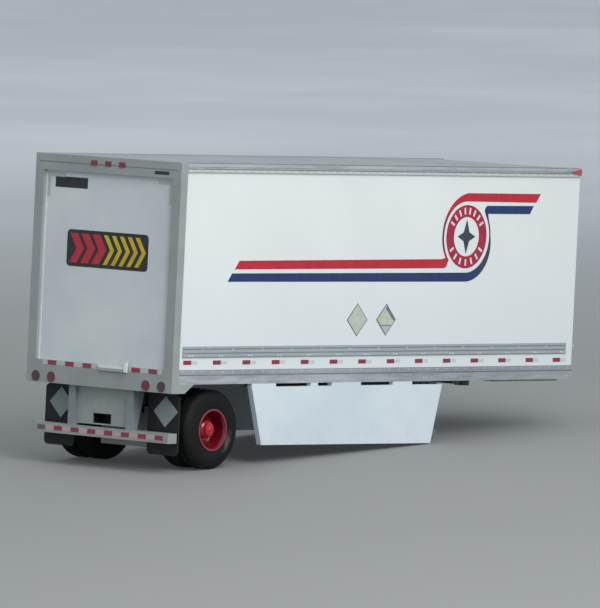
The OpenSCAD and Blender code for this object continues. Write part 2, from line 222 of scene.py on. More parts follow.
white_wall = sprayed("white_wall_paint", ink(228, 232, 232), ink(222, 227, 228), 0.34,
                     cloud_size=0.035, low_shade=ink(214, 224, 228))
roof_grey = sprayed("grey_roof_paint", ink(150, 157, 160), ink(138, 146, 150), 0.5,
                    cloud_size=0.06, dirt=0.25, dirt_below=80)
# Painted shade: the door's white is greyer than the walls', for the shade that the rear face lies
# in.
shaded_door_white = sprayed("white_door_paint", ink(210, 217, 219), ink(198, 206, 210), 0.4,
                     cloud_size=0.05)
white_skirt = sprayed("white_skirt_plastic", ink(212, 223, 230), ink(201, 214, 224), 0.36,
                      cloud_size=0.07, dirt=0.12, dirt_below=8)
grey_frame = sprayed("grey_frame_paint", ink(153, 160, 159), ink(143, 150, 150), 0.42,
                     cloud_size=0.12, dirt=0.15)
pale_post = sprayed("pale_post_paint", ink(134, 142, 145), ink(122, 131, 135), 0.42,
                    cloud_size=0.2)
chassis_grey = sprayed("chassis_grey_casting", ink(84, 89, 91), ink(70, 75, 78), 0.55,
                       peel=0.03, coat=0.05, cloud_size=0.15, dirt=0.3)
carrier_grey = sprayed("carrier_grey_casting", ink(168, 172, 170), ink(150, 155, 154), 0.5,
                       peel=0.03, coat=0.05, cloud_size=0.15, dirt=0.2)
leg_grey = sprayed("leg_grey_plastic", ink(118, 126, 132), ink(104, 112, 118), 0.45,
                   cloud_size=0.2, dirt=0.2)
dark_pin = sprayed("dark_pin_paint", ink(88, 90, 84), ink(70, 72, 68), 0.4, cloud_size=0.3)
placard_grey = sprayed("placard_grey_print", ink(140, 149, 150), ink(128, 138, 140), 0.5,
                       cloud_size=0.2)
rivet_white = sprayed("rivet_white_paint", ink(226, 230, 230), ink(210, 215, 216), 0.35,
                      cloud_size=0.4)
print("sprayed finishes:", len(bpy.data.materials))

# %% [markdown]
# The rails and the scuff band carry a silvery print over ridges. The ridges stay in the mesh; the
# print is thinner on the crests, so those read paler, and the grooves and the creases are darkened
# as painted shade. A crease is given as its level height, its half width and the strength of its
# painted shade line. The rail is paler at the rear and darker towards the front, painted shade for
# the key light falling off along it.

# %% Silver print on the rails


def silver_print(name, colour, worn, groove_shade, ridges, creases=(), metallic=0.25, front_shade=0.35,
                 lip=None):
    f = Finish(name)
    across = f.axis("X").math("ABSOLUTE")
    rise = f.axis("Z")
    crest = across.step(*ridges)
    face = across.step(WALL_X + 0.02, WALL_X + 0.08)
    mist = f.noise(0.09, 4, stretch=(1, 0.35, 1))
    streak = f.noise(0.9, 5, stretch=(1, 0.16, 1.6), offset=5.0)
    colours = f.blend(mist.step(0.32, 0.7), colour, groove_shade)
    colours = f.blend(crest * 0.45 * streak.step(0.35, 0.65), colours, worn)
    # Painted shade: off the crests the print is darkened towards the groove colour.
    colours = f.blend((1 - crest) * 0.5, colours, groove_shade)
    # Painted shade: darker towards the front, where less of the key light falls.
    colours = f.blend(f.axis("Y").step(20, 125) * front_shade, colours, groove_shade)
    # Painted shade: a dark line along each crease.
    for z, half, dark in creases:
        line = rise.between(z - half, z + half, 0.04) * face * dark
        colours = f.blend(line * streak.step(0.2, 0.5), colours, ink(84, 90, 94))
    if lip:
        colours = f.blend((1 - rise.step(lip - 0.1, lip + 0.1)) * face * 0.7, colours,
                          ink(206, 212, 213))
    height = f.noise(4, 3, offset=2.0) * 0.4 + streak
    return f.surface(base_color=colours, metallic=metallic, roughness=0.36 + streak * 0.14,
                     coat_weight=0.15, coat_roughness=0.25, normal=f.bump(height, 0.03))


RAIL_CREST = (WALL_X + 0.1, WALL_X + 0.32)
top_crease = (top_rail[0].z + top_rail[1].z) / 2
top_silver = silver_print(
    "silver_top_rail_print", ink(176, 182, 186), ink(206, 210, 212), ink(150, 157, 163),
    RAIL_CREST, ((top_crease - 0.33, 0.12, 0.75), (top_rail[1].z - 0.12, 0.12, 0.8)),
    front_shade=0.1, lip=top_crease - 0.45)
low_crease = low_rail[0].z + 0.62 * (low_rail[1].z - low_rail[0].z)
rail_silver = silver_print(
    "silver_low_rail_print", ink(172, 178, 184), ink(208, 213, 217), ink(142, 149, 156),
    RAIL_CREST, ((low_crease, 0.13, 0.8), (low_rail[1].z - 0.02, 0.14, 0.7)), front_shade=0.5)
band_silver = silver_print(
    "grey_scuff_print", ink(164, 174, 177), ink(170, 180, 183), ink(154, 165, 169),
    (WALL_X + 0.16, WALL_X + 0.33), ((band[1].z, 0.1, 0.7),), metallic=0.1, front_shade=0.2)
print("silver prints made; bottom rail crease at", round(low_crease, 2), "mm")

# %% [markdown]
# Printed ink, lamp lenses and reflective tape are small and bright. Tape has a fine
# diamond lattice, lamp lenses have pressed ribs, and printed ink shows slight mottle.

# %% Inks, tape and lenses


def printed(name, colour, shade, rough=0.38, fade=None):
    """Flat ink, which may fade to slate: fade is Y start and end, then Z foot, head, top."""
    f = Finish(name)
    mottle = f.noise(0.5, 4).step(0.35, 0.7)
    colours = f.blend(mottle, colour, shade)
    if fade:
        start, end, foot, head, top = fade
        along, rise = f.axis("Y"), f.axis("Z")
        past = along.step(start, end) if end > start else 1 - along.step(end, start)
        turned = past * rise.step(foot, foot + 1.5) * (1 - rise.step(head, top))
        colours = f.blend(turned * 0.8, colours, ink(52, 66, 78))
    return f.surface(base_color=colours, coat_weight=0.2,
                     coat_roughness=0.2, roughness=rough + (f.noise(3, 2) - 0.5) * 0.1,
                     normal=f.bump(f.noise(5, 2), 0.006))


def reflective(name, colour, shade):
    """Tape with a pressed diamond lattice."""
    f = Finish(name)
    run = f.axis("Y") + f.axis("X")
    rise = f.axis("Z")
    first = ((run + rise) * 14.0).math("SINE").math("ABSOLUTE")
    second = ((run - rise) * 14.0).math("SINE").math("ABSOLUTE")
    lattice = first.math("MINIMUM", second)
    tone = f.blend(lattice.step(0.0, 0.5), shade, colour)
    return f.surface(base_color=tone, roughness=0.3 + lattice * 0.1, coat_weight=0.5,
                     coat_roughness=0.1, normal=f.bump(lattice, 0.01))


def lens(name, colour, deep, centre=None):
    """Moulded lens: ribs, or rings where a centre is given."""
    f = Finish(name)
    if centre is None:
        ribs = (f.axis("Z") * 18.0 + f.axis("Y") * 2.0).math("SINE")
    else:
        ribs = (f.axis("Z") * 22.0).math("SINE") * (f.axis("X") * 22.0).math("SINE")
    tone = f.blend(ribs.step(-0.6, 0.8), deep, colour)
    return f.surface(base_color=tone, roughness=0.22, coat_weight=0.8, coat_roughness=0.06,
                     normal=f.bump(ribs, 0.02))


def two_tone_latch():
    """White handle, grey along the lower part of the bar but not on the knob at its far end."""
    f = Finish("latch_two_tone_paint")
    low, high = level_box("door_latch")
    bar = 1 - f.axis("X").step(high.x - 0.8, high.x - 0.7)
    lower = 1 - f.axis("Z").step(low.z + 0.5, low.z + 0.7)
    colours = f.blend(f.noise(0.5, 3), ink(228, 233, 232), ink(214, 221, 221))
    return f.surface(base_color=f.blend(lower * bar * 0.8, colours, ink(134, 142, 142)),
                     roughness=0.36, coat_weight=0.3, coat_roughness=0.15,
                     normal=f.bump(f.noise(3, 2), 0.01))


latch_paint = two_tone_latch()
stripe_red = printed("stripe_red_ink", ink(188, 34, 56), ink(174, 30, 52),
                     fade=(90.5, 86.8, 45.2, 51.0, 57.0))
stripe_blue = printed("stripe_blue_ink", ink(30, 52, 106), ink(26, 45, 94),
                      fade=(97.0, 101.0, 38.0, 52.0, 54.5))
plate_red = printed("plate_red_ink", ink(186, 38, 58), ink(174, 34, 56))
roundel_red = printed("roundel_red_ink", ink(166, 34, 62), ink(154, 32, 60))
mark_slate = printed("roundel_slate_ink", ink(52, 68, 78), ink(42, 58, 68))
pale_ink = printed("pale_ink", ink(226, 214, 220), ink(214, 204, 212))
plate_black = printed("plate_black_ink", ink(30, 33, 35), ink(40, 43, 45), 0.45)
plate_yellow = printed("plate_yellow_ink", ink(205, 178, 30), ink(190, 160, 20))
plate_pale = printed("plate_pale_ink", ink(178, 188, 176), ink(188, 197, 188), 0.45)
plate_cream = printed("plate_cream_ink", ink(192, 200, 186), ink(180, 188, 176), 0.45)
plate_straw = printed("plate_straw_ink", ink(190, 196, 156), ink(178, 184, 146), 0.45)
plate_lilac = printed("plate_lilac_ink", ink(180, 186, 192), ink(168, 174, 182), 0.45)
outline_grey = printed("outline_grey_ink", ink(112, 122, 124), ink(98, 110, 114), 0.45)
tape_red = reflective("tape_red", ink(154, 38, 64), ink(116, 28, 52))
tape_worn = reflective("tape_worn", ink(112, 84, 92), ink(92, 70, 78))
tape_pale = reflective("tape_pale", ink(208, 208, 205), ink(190, 190, 188))
tape_silver = reflective("tape_silver", ink(186, 192, 190), ink(164, 171, 170))
tape_pink = reflective("tape_pink", ink(182, 168, 170), ink(162, 150, 152))
lamp_red = lens("lamp_red_lens", ink(150, 26, 52), ink(96, 18, 36))
tail_red = lens("tail_red_lens", ink(122, 28, 52), ink(84, 24, 40), centre=0)
tail_dark = lens("tail_dark_lens", ink(92, 38, 60), ink(58, 30, 44), centre=0)
lamp_amber = lens("lamp_amber_lens", ink(200, 82, 72), ink(166, 60, 54))
print("materials so far:", len(bpy.data.materials))

# %% [markdown]
# The wheels are the brightest part: glossy red plastic rims with the red rubbed to pink
# on the lip, in soft black rubber tyres. Both patterns run with the distance from the
# axle, which is worked out in the shader from level Y and Z.

# %% Rubber, rims and bare steel
AXLE = (level_box("axle_shaft")[0] + level_box("axle_shaft")[1]) / 2
TYRE_R = tyre[1].z - AXLE.z
RIM_EDGE = level_box("rim_right_outer")[1].z - AXLE.z


def from_axle(f):
    """Distance from the axle's centre line, in millimetres."""
    y = f.axis("Y") - AXLE.y
    z = f.axis("Z") - AXLE.z
    return (y * y + z * z).math("SQRT")


def tyre_rubber():
    f = Finish("tyre_rubber")
    radius = from_axle(f)
    mould = f.noise(0.35, 5)
    dust = radius.step(TYRE_R - 0.5, TYRE_R) * f.noise(1.1, 4, offset=4.0).step(0.4, 0.8)
    colours = f.blend(mould, ink(17, 19, 20), ink(10, 12, 12))
    colours = f.blend(dust * 0.2, colours, ink(54, 54, 52))
    low = 1 - f.axis("Z").step(AXLE.z - 1.5, AXLE.z + 0.5)
    ahead = f.axis("Y").step(AXLE.y + 2.6, AXLE.y + 4.4)
    scuff = radius.between(4.7, 6.0, 0.5) * low * ahead * f.noise(0.4, 2, offset=9.0).step(0.3, 0.6)
    colours = f.blend(scuff * 0.5, colours, ink(112, 102, 96))
    rings = (radius * 9.0).math("SINE")
    return f.surface(base_color=colours, roughness=0.68 + (mould - 0.5) * 0.2,
                     specular_ior_level=0.25, normal=f.bump(rings * 0.3 + f.noise(6, 2), 0.02))


def rim_red():
    f = Finish("rim_red_plastic")
    radius = from_axle(f)
    lip = radius.step(RIM_EDGE - 0.3, RIM_EDGE - 0.12)
    rub = f.noise(1.6, 4, offset=2.0)
    colours = f.blend(f.noise(0.4, 3).step(0.3, 0.7), ink(172, 14, 28), ink(146, 10, 27))
    # Painted shade: towards the edge the barrel turns dark maroon, for the shade inside it.
    colours = f.blend(radius.step(RIM_EDGE - 1.3, RIM_EDGE - 0.8) * 0.8, colours, ink(84, 6, 24))
    colours = f.blend(lip * (0.3 + rub * 0.5), colours, ink(158, 80, 102))
    return f.surface(base_color=colours, roughness=0.26 + rub * 0.08, coat_weight=0.5,
                     coat_roughness=0.12, normal=f.bump(f.noise(3, 2), 0.012))


def shaft_steel():
    f = Finish("axle_bright_steel")
    brush = f.noise(1.0, 4, stretch=(0.6, 14, 14))
    return f.surface(base_color=f.blend(brush, ink(150, 152, 154), ink(184, 186, 188)),
                     metallic=0.9, roughness=0.28 + brush * 0.15,
                     normal=f.bump(brush, 0.008))


def flap_rubber():
    f = Finish("flap_black_rubber")
    grain = f.noise(5, 3)
    scuff = f.noise(0.5, 5, stretch=(1, 1, 0.3), offset=6.0).step(0.5, 0.8)
    colours = f.blend(scuff * 0.3, ink(16, 18, 19), ink(38, 41, 42))
    return f.surface(base_color=colours, roughness=0.6 + (grain - 0.5) * 0.15,
                     normal=f.bump(grain, 0.02))


rubber = tyre_rubber()
red_plastic = rim_red()
bright_steel = shaft_steel()
flap_black = flap_rubber()
print("axle centre on the level trailer:", [round(c, 2) for c in AXLE])

# %% [markdown]
# The CAD nodes keep their own meshes. Each gets the finish of the real moulding, by its
# name, so a node that is missing from the list stops the script.

# %% Finishes on the CAD nodes
NODE_FINISH = {
    "side_wall": white_wall, "front_wall": white_wall, "roof_panel": roof_grey,
    "rear_door": shaded_door_white, "door_latch": latch_paint, "side_skirt": white_skirt,
    "top_rail": top_silver, "bottom_rail": rail_silver, "scuff_band": band_silver,
    "rear_frame": grey_frame, "underride_bar": grey_frame, "hitch_housing": grey_frame,
    "underride_post": pale_post, "header_lamp": lamp_red,
    "tail_lamp_left_outer": tail_dark, "tail_lamp_right_outer": tail_dark,
    "tail_lamp": tail_red,
    "marker_lamp": lamp_amber, "floor_": chassis_grey,
    "upper_coupler": carrier_grey, "kingpin": dark_pin, "landing_crossmember": chassis_grey,
    "landing_shaft": chassis_grey, "landing_leg": leg_grey, "landing_foot": leg_grey,
    "rear_subframe": chassis_grey, "axle_carrier": carrier_grey, "spring_set": chassis_grey,
    "axle_shaft": bright_steel, "tyre": rubber, "rim": red_plastic, "mud_flap": flap_black,
    "flap_placard": placard_grey}


def finish_of(name):
    return next(m for start, m in NODE_FINISH.items() if name.startswith(start))


for name, node in frame["nodes"].items():
    node.data.materials.clear()
    node.data.materials.append(finish_of(name))
print("finished CAD nodes:", len(frame["nodes"]))

# %% [markdown]
# Printed marks, plates and labels are thin closed slabs that stand a few hundredths of a
# millimetre off the panel. An outline is drawn once, on the curb side or on the rear
# face, and given its thickness; the road side gets a mirrored copy.

# %% Slabs from outlines
INK_T = 0.035           # how far a printed mark stands out
SUNK = 0.03             # how far it reaches into the panel


def close_piece(name, bm, material, body="trailer", mirrored=False, smooth=None):
    """Turns a level bmesh into a finished piece that rides on a body."""
    if mirrored:
        bmesh.ops.scale(bm, vec=(-1, 1, 1), verts=bm.verts)
    bmesh.ops.remove_doubles(bm, verts=bm.verts, dist=1e-5)
    bmesh.ops.recalc_face_normals(bm, faces=bm.faces)
    mesh = bpy.data.meshes.new(name)
    bm.to_mesh(mesh)
    bm.free()
    return mesh_piece(name, mesh, material, body, smooth)


def mesh_piece(name, mesh, material, body="trailer", smooth=None):
    """Places a level mesh on the leaning trailer and lets it ride."""
    mesh.transform(LEVEL)
    mesh.materials.clear()
    mesh.materials.append(material)
    if smooth is not None:
        mesh.polygons.foreach_set("use_smooth", [True] * len(mesh.polygons))
        mesh.set_sharp_from_angle(angle=math.radians(smooth))
    piece = bpy.data.objects.new(name, mesh)
    bpy.context.collection.objects.link(piece)
    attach(piece, body)
    return piece


def slab(bm, outline, low, high, face="side"):
    """Adds a prism: an outline in Y and Z at X low to high, or in X and Z at Y low to high."""
    def put(point, depth):
        if face == "side":
            return bm.verts.new((depth, point[0], point[1]))
        return bm.verts.new((point[0], depth, point[1]))
    near = [put(p, low) for p in outline]
    far = [put(p, high) for p in outline]
    bm.faces.new(near)
    bm.faces.new(list(reversed(far)))
    for i in range(len(outline)):
        j = (i + 1) % len(outline)
        bm.faces.new((near[i], far[i], far[j], near[j]))


def hoop(bm, centre, inner, outer, low, high, face="side", steps=64):
    """Adds a flat ring of square section."""
    loops = []
    for radius, depth in ((inner, low), (outer, low), (outer, high), (inner, high)):
        loop = []
        for k in range(steps):
            a = 2 * math.pi * k / steps
            u, v = centre[0] + radius * math.cos(a), centre[1] + radius * math.sin(a)
            loop.append(bm.verts.new((depth, u, v) if face == "side" else (u, depth, v)))
        loops.append(loop)
    for k in range(steps):
        n = (k + 1) % steps
        for i in range(4):
            j = (i + 1) % 4
            bm.faces.new((loops[i][k], loops[i][n], loops[j][n], loops[j][k]))


def arc(centre, radius, start, end, steps=24):
    """Points on an arc in degrees; radius may be a function of the angle."""
    points = []
    for k in range(steps + 1):
        a = start + (end - start) * k / steps
        r = radius(a) if callable(radius) else radius
        points.append((centre[0] + r * math.cos(math.radians(a)),
                       centre[1] + r * math.sin(math.radians(a))))
    return points


def rectangle(x0, x1, z0, z1):
    return [(x0, z0), (x1, z0), (x1, z1), (x0, z1)]


def rounded(x0, x1, z0, z1, r, steps=4):
    corners = (((x1 - r, z0 + r), -90), ((x1 - r, z1 - r), 0),
               ((x0 + r, z1 - r), 90), ((x0 + r, z0 + r), 180))
    return [p for centre, a in corners for p in arc(centre, r, a, a + 90, steps)]


def both_sides(name, material, outlines, low=WALL_X - SUNK, high=WALL_X + INK_T):
    """The same slabs on the curb side and, mirrored, on the road side."""
    for side, mirrored in (("right", False), ("left", True)):
        bm = bmesh.new()
        for outline in outlines:
            slab(bm, outline, low, high)
        close_piece(f"{name}_{side}", bm, material, mirrored=mirrored)


print("outline helpers ready")

# %% [markdown]
# Two coloured bands run forward along each side, turn round a roundel and run on higher
# up. Each band is one closed outline. Round the roundel the inner edge is a circle, and
# the outer edge is a spiral, so the band thins from full width to a fine line.

# %% Side stripes
ROUNDEL = (94.95, 49.15)
RING_IN, RING_OUT = 4.25, 6.83


def red_outer(a):
    return 8.2 + 1.2 * max(0.0, (180 - a) / 90) ** 2


def blue_outer(a):
    return 8.2 + 1.5 * (1 - min(1.0, (a + 90) / 90) ** 2)


red_band = (
    [(119.9, 58.5)]
    + arc(ROUNDEL, red_outer, 90, 214, 30)
    + [(86.9, 44.3), (20.2, 43.9), (18.8, 42.1)]
    + arc((87.6, 43.7), 1.35, -90, 0, 8)
    + arc(ROUNDEL, 7.6, 222, 90, 30)
    + [(118.4, 56.6)])
blue_band = (
    [(18.0, 41.25), (16.7, 39.5)]
    + arc(ROUNDEL, blue_outer, -90, 24, 30)
    + [(102.0, 54.1), (116.42, 54.1), (117.62, 55.88)]
    + arc((101.95, 54.75), 1.1, 90, 190, 8)
    + arc(ROUNDEL, 7.78, 32, -86, 30))
both_sides("stripe_red", stripe_red, [red_band])
both_sides("stripe_blue", stripe_blue, [blue_band])
print("stripe outlines:", len(red_band), "and", len(blue_band), "points")

# %% [markdown]
# The roundel is a red ring round a plain centre. In place of any lettering the ring has
# short pale studs above and below, and the centre has a plain four-pointed compass star.

# %% Roundel
STAR_LONG, STAR_SHORT, STAR_WAIST = 3.7, 3.0, 1.35


def studs(start, end, count):
    """Short radial bars along an arc of the ring."""
    bars = []
    for k in range(count):
        a = math.radians(start + (end - start) * k / (count - 1))
        along = Vector((math.cos(a), math.sin(a)))
        across = Vector((-along.y, along.x)) * 0.27
        near = Vector(ROUNDEL) + along * (RING_IN + 0.6)
        far = Vector(ROUNDEL) + along * (RING_OUT - 0.55)
        bars.append([near - across, far - across, far + across, near + across])
    return bars


def star():
    points = []
    for k in range(8):
        a = math.radians(45 * k)
        reach = STAR_WAIST if k % 2 else (STAR_SHORT if k % 4 == 0 else STAR_LONG)
        points.append((ROUNDEL[0] + reach * math.cos(a), ROUNDEL[1] + reach * math.sin(a)))
    return points


for side, mirrored in (("right", False), ("left", True)):
    bm = bmesh.new()
    hoop(bm, ROUNDEL, RING_IN, RING_OUT, WALL_X - SUNK, WALL_X + INK_T)
    close_piece(f"roundel_ring_{side}", bm, roundel_red, mirrored=mirrored)
both_sides("roundel_studs", pale_ink, studs(150, 30, 8) + studs(-150, -30, 7),
           high=WALL_X + 2 * INK_T)
both_sides("roundel_star", mark_slate, [star()])
print("roundel at", ROUNDEL)

# %% [markdown]
# Two blank diamond holders hang under the stripes. The first is a pale plate in a grey
# outline; the second is a folded one, with a fold line and one dark edge.

# %% Side placards
DIAMOND_Z = 31.35
DIAMONDS = ((59.5, 3.45, 3.55), (69.1, 3.3, 3.45))     # level Y, half width, half height
EDGE = 0.32


def diamond(y, half_y, half_z):
    return [(y - half_y, DIAMOND_Z), (y, DIAMOND_Z - half_z),
            (y + half_y, DIAMOND_Z), (y, DIAMOND_Z + half_z)]


both_sides("placard_outline", outline_grey, [diamond(*d) for d in DIAMONDS])
first, second = [diamond(y, w - EDGE, h - EDGE) for y, w, h in DIAMONDS]
both_sides("placard_plate", plate_pale, [first], high=WALL_X + 2 * INK_T)
both_sides("placard_card", plate_cream, [second], high=WALL_X + 2 * INK_T)
y2, half_y, half_z = DIAMONDS[1][0], DIAMONDS[1][1] - EDGE, DIAMONDS[1][2] - EDGE
fold = 0.42                                # height of the fold, as a share of the lower half
foot = [(y2 - half_y * (1 - fold), DIAMOND_Z - half_z * fold), (y2, DIAMOND_Z - half_z),
        (y2 + half_y * (1 - fold), DIAMOND_Z - half_z * fold)]
both_sides("placard_foot", plate_lilac, [foot], high=WALL_X + 2.6 * INK_T)
both_sides("placard_corner", plate_straw,
           [[(y2 - half_y, DIAMOND_Z), (y2 - half_y * (1 - fold), DIAMOND_Z - half_z * fold),
             (y2 - half_y * 0.3, DIAMOND_Z + half_z * 0.2),
             (y2 - half_y * 0.6, DIAMOND_Z + half_z * 0.4)]], high=WALL_X + 2.6 * INK_T)
both_sides("placard_fold", outline_grey,
           [[(y2 + 0.1, DIAMOND_Z + half_z), (y2 + half_y, DIAMOND_Z + 0.1),
             (y2 + half_y - 0.5, DIAMOND_Z - 0.25), (y2 - 0.3, DIAMOND_Z + half_z - 0.75)],
            rectangle(foot[0][0], foot[2][0], foot[0][1], foot[0][1] + 0.2)],
           high=WALL_X + 3.2 * INK_T)
print("diamond holders at Y", [d[0] for d in DIAMONDS])

# %% [markdown]
# Rivets, tape pieces and lug nuts repeat. One Geometry Nodes tree for each shape puts it on each
# point of a bare mesh, turns and sizes it by named inputs, realizes the instances and sets the
# material.

# %% A tree that repeats a shape


def repeat_tree(title, shape, settings):
    tree = bpy.data.node_groups.new(title, "GeometryNodeTree")
    face = tree.interface
    face.new_socket("Points", in_out="INPUT", socket_type="NodeSocketGeometry")
    face.new_socket("Size", in_out="INPUT", socket_type="NodeSocketVector")
    face.new_socket("Turn", in_out="INPUT", socket_type="NodeSocketVector")
    face.new_socket("Finish", in_out="INPUT", socket_type="NodeSocketMaterial")
    face.new_socket("Geometry", in_out="OUTPUT", socket_type="NodeSocketGeometry")
    new, link = tree.nodes.new, tree.links.new
    source, result = new("NodeGroupInput"), new("NodeGroupOutput")
    points, euler = new("GeometryNodeMeshToPoints"), new("FunctionNodeEulerToRotation")
    unit = new(shape)
    for key, value in settings.items():
        unit.inputs[key].default_value = value
    place, real = new("GeometryNodeInstanceOnPoints"), new("GeometryNodeRealizeInstances")
    paint = new("GeometryNodeSetMaterial")
    link(source.outputs["Points"], points.inputs[0])
    link(points.outputs[0], place.inputs["Points"])
    link(unit.outputs[0], place.inputs["Instance"])
    link(source.outputs["Turn"], euler.inputs[0])
    link(euler.outputs[0], place.inputs["Rotation"])
    link(source.outputs["Size"], place.inputs["Scale"])
    link(place.outputs[0], real.inputs[0])
    link(real.outputs[0], paint.inputs["Geometry"])
    link(source.outputs["Finish"], paint.inputs["Material"])
    link(paint.outputs[0], result.inputs[0])
    return tree


dome_tree = repeat_tree("Domes on points", "GeometryNodeMeshUVSphere",
                        {"Segments": 8, "Rings": 4, "Radius": 1.0})
block_tree = repeat_tree("Blocks on points", "GeometryNodeMeshCube", {"Size": (1, 1, 1)})
nut_tree = repeat_tree("Nuts on points", "GeometryNodeMeshCylinder",
                       {"Vertices": 6, "Radius": 1.0, "Depth": 1.0})


def repeated(name, tree, points, size, material, turn=(0, 0, 0), body="trailer",
             smooth=None):
    """Runs a repeat tree on a list of level points and keeps the plain mesh."""
    seed = bpy.data.meshes.new(name + "_points")
    seed.from_pydata([tuple(p) for p in points], [], [])
    holder = bpy.data.objects.new(name + "_points", seed)
    bpy.context.collection.objects.link(holder)
    modifier = holder.modifiers.new("repeat", "NODES")
    modifier.node_group = tree
    names = {s.name: s.identifier for s in tree.interface.items_tree
             if s.in_out == "INPUT"}
    modifier[names["Size"]] = tuple(size)
    modifier[names["Turn"]] = tuple(turn)
    modifier[names["Finish"]] = material
    bpy.context.view_layer.update()
    graph = bpy.context.evaluated_depsgraph_get()
    mesh = bpy.data.meshes.new_from_object(holder.evaluated_get(graph))
    bpy.data.objects.remove(holder)
    return mesh_piece(name, mesh, material, body, smooth)


print("repeat trees:", [t.name for t in bpy.data.node_groups])

# %% [markdown]
# Rivets hold the top rail, the bottom rail and the foot of the scuff band. Each row is a
# list of points along Y; the road side repeats it at the other X.

# %% Rivets


def spread(start, end, pitch):
    """Evenly spaced values from start to end, about a pitch apart."""
    count = max(2, round((end - start) / pitch) + 1)
    return [start + (end - start) * k / (count - 1) for k in range(count)]


rail_x = top_rail[1].x
for side, s in (("right", 1), ("left", -1)):
    silver = [(s * (rail_x - 0.14), y, low_rail[1].z - 0.45)
              for y in spread(low_rail[0].y + 1.2, low_rail[1].y - 1.5, 3.2)]
    white = [(s * rail_x, y, top_rail[0].z + 0.3)
             for y in spread(top_rail[0].y + 1.0, top_rail[1].y - 3.6, 2.6)]
    for y in spread(low_rail[0].y + 2.4, low_rail[1].y - 2.5, 9.47):
        silver += [(s * rail_x, y + k, low_rail[0].z + 0.75) for k in (0, 1.0)]
    for y in spread(band[0].y + 1.9, band[1].y - 1.9, 9.47):
        white += [(s * (WALL_X + 0.34), y + k, band[0].z + 0.3) for k in (0, 0.9)]
        white.append((s * (WALL_X + 0.14), y + 4.6, band[0].z + 1.62))
    repeated(f"rivets_{side}", dome_tree, silver, (0.07, 0.17, 0.17), top_silver, smooth=60)
    repeated(f"band_rivets_{side}", dome_tree, white, (0.1, 0.2, 0.18), rivet_white,
             smooth=60)
    print("rivets on the", side, "side:", len(silver), "silver and", len(white), "white")

# %% [markdown]
# Reflective tape: red and pale pieces alternate along each side, on the sill and on the
# guard bar. All pieces of one colour on one face are one mesh.

# %% Tape
TAPE_PITCH = 9.47
TAPE_REAR_Z, TAPE_FRONT_Z = 22.65, 22.3       # the row runs down a little to the front
red_y = [4.98 + TAPE_PITCH * k for k in range(14)]


def tape_row(x, ys):
    fall = (TAPE_FRONT_Z - TAPE_REAR_Z) / wall[1].y
    return [(x, y, TAPE_REAR_Z + fall * y) for y in ys]


for side, s in (("right", 1), ("left", -1)):
    repeated(f"tape_red_{side}", block_tree, tape_row(s * WALL_X, red_y),
             (0.09, 2.5, 0.88), tape_red)
    repeated(f"tape_pale_{side}", block_tree, tape_row(s * WALL_X, [y + 2.2 for y in red_y]),
             (0.07, 1.9, 0.7), tape_pale)

SILL_TAPE_Z = 20.5
sill_red = (-13.2, -8.3, -3.4, 10.2, 14.95)
repeated("tape_red_sill", block_tree, [(x, rear[0].y, SILL_TAPE_Z) for x in sill_red],
         (2.4, 0.12, 0.95), tape_red)
bm = bmesh.new()
for x0, x1 in ((-15.9, -0.4), (8.3, 17.4)):
    slab(bm, rectangle(x0, x1, SILL_TAPE_Z - 0.5, SILL_TAPE_Z + 0.5), rear[0].y - 0.03,
         rear[0].y + 0.03, "rear")
close_piece("tape_pale_sill", bm, tape_silver)

guard_z = (guard[0].z + guard[1].z) / 2
guard_pitch = 4.69
guard_red = [-16.3 + guard_pitch * k for k in range(8)]
repeated("tape_red_guard", block_tree, [(x, guard[0].y, guard_z) for x in guard_red[1:]],
         (2.2, 0.1, 0.95), tape_red)
repeated("tape_worn_guard", block_tree, [(guard_red[0], guard[0].y, guard_z)],
         (2.2, 0.1, 0.95), tape_worn)
repeated("tape_pink_guard", block_tree,
         [(x + guard_pitch / 2, guard[0].y, guard_z) for x in guard_red[:-1]],
         (2.3, 0.06, 1.0), tape_pink)
print("side tape pieces:", 2 * len(red_y), "a side")

# %% [markdown]
# The rear face: a blank dark number plate, a blank label at the header's right end, two
# silver corner marks on the door, and a generic plate with plain chevrons in the middle.

# %% Rear face marks
DOOR_Y = door[0].y


def rear_marks(name, material, outlines, y, out=INK_T):
    bm = bmesh.new()
    for outline in outlines:
        slab(bm, outline, y - out, y + SUNK, "rear")
    return close_piece(name, bm, material)


def chevron(x, z, half, arm, thick):
    return [(x, z - half), (x + thick, z - half), (x + thick + arm, z),
            (x + thick, z + half), (x, z + half), (x + arm, z)]


rear_marks("number_plate_blank", plate_black, [rounded(-15.2, -6.2, 57.35, 59.6, 0.15)], DOOR_Y)
rear_marks("header_label_blank", plate_black, [rounded(12.9, 16.9, 61.5, 62.2, 0.1)],
           rear[0].y, 0.02)
corner = door[1].x - 0.5
top = door[1].z - 0.5
marks = []
for s, arm in ((-1, 5.0), (1, 4.0)):
    marks.append([(s * corner, top), (s * (corner - arm), top),
                  (s * (corner - arm), top - 0.9), (s * (corner - 0.9), top - 0.9),
                  (s * (corner - 0.9), top - 5.0), (s * corner, top - 5.0)])
rear_marks("corner_marks", tape_silver, marks, DOOR_Y)
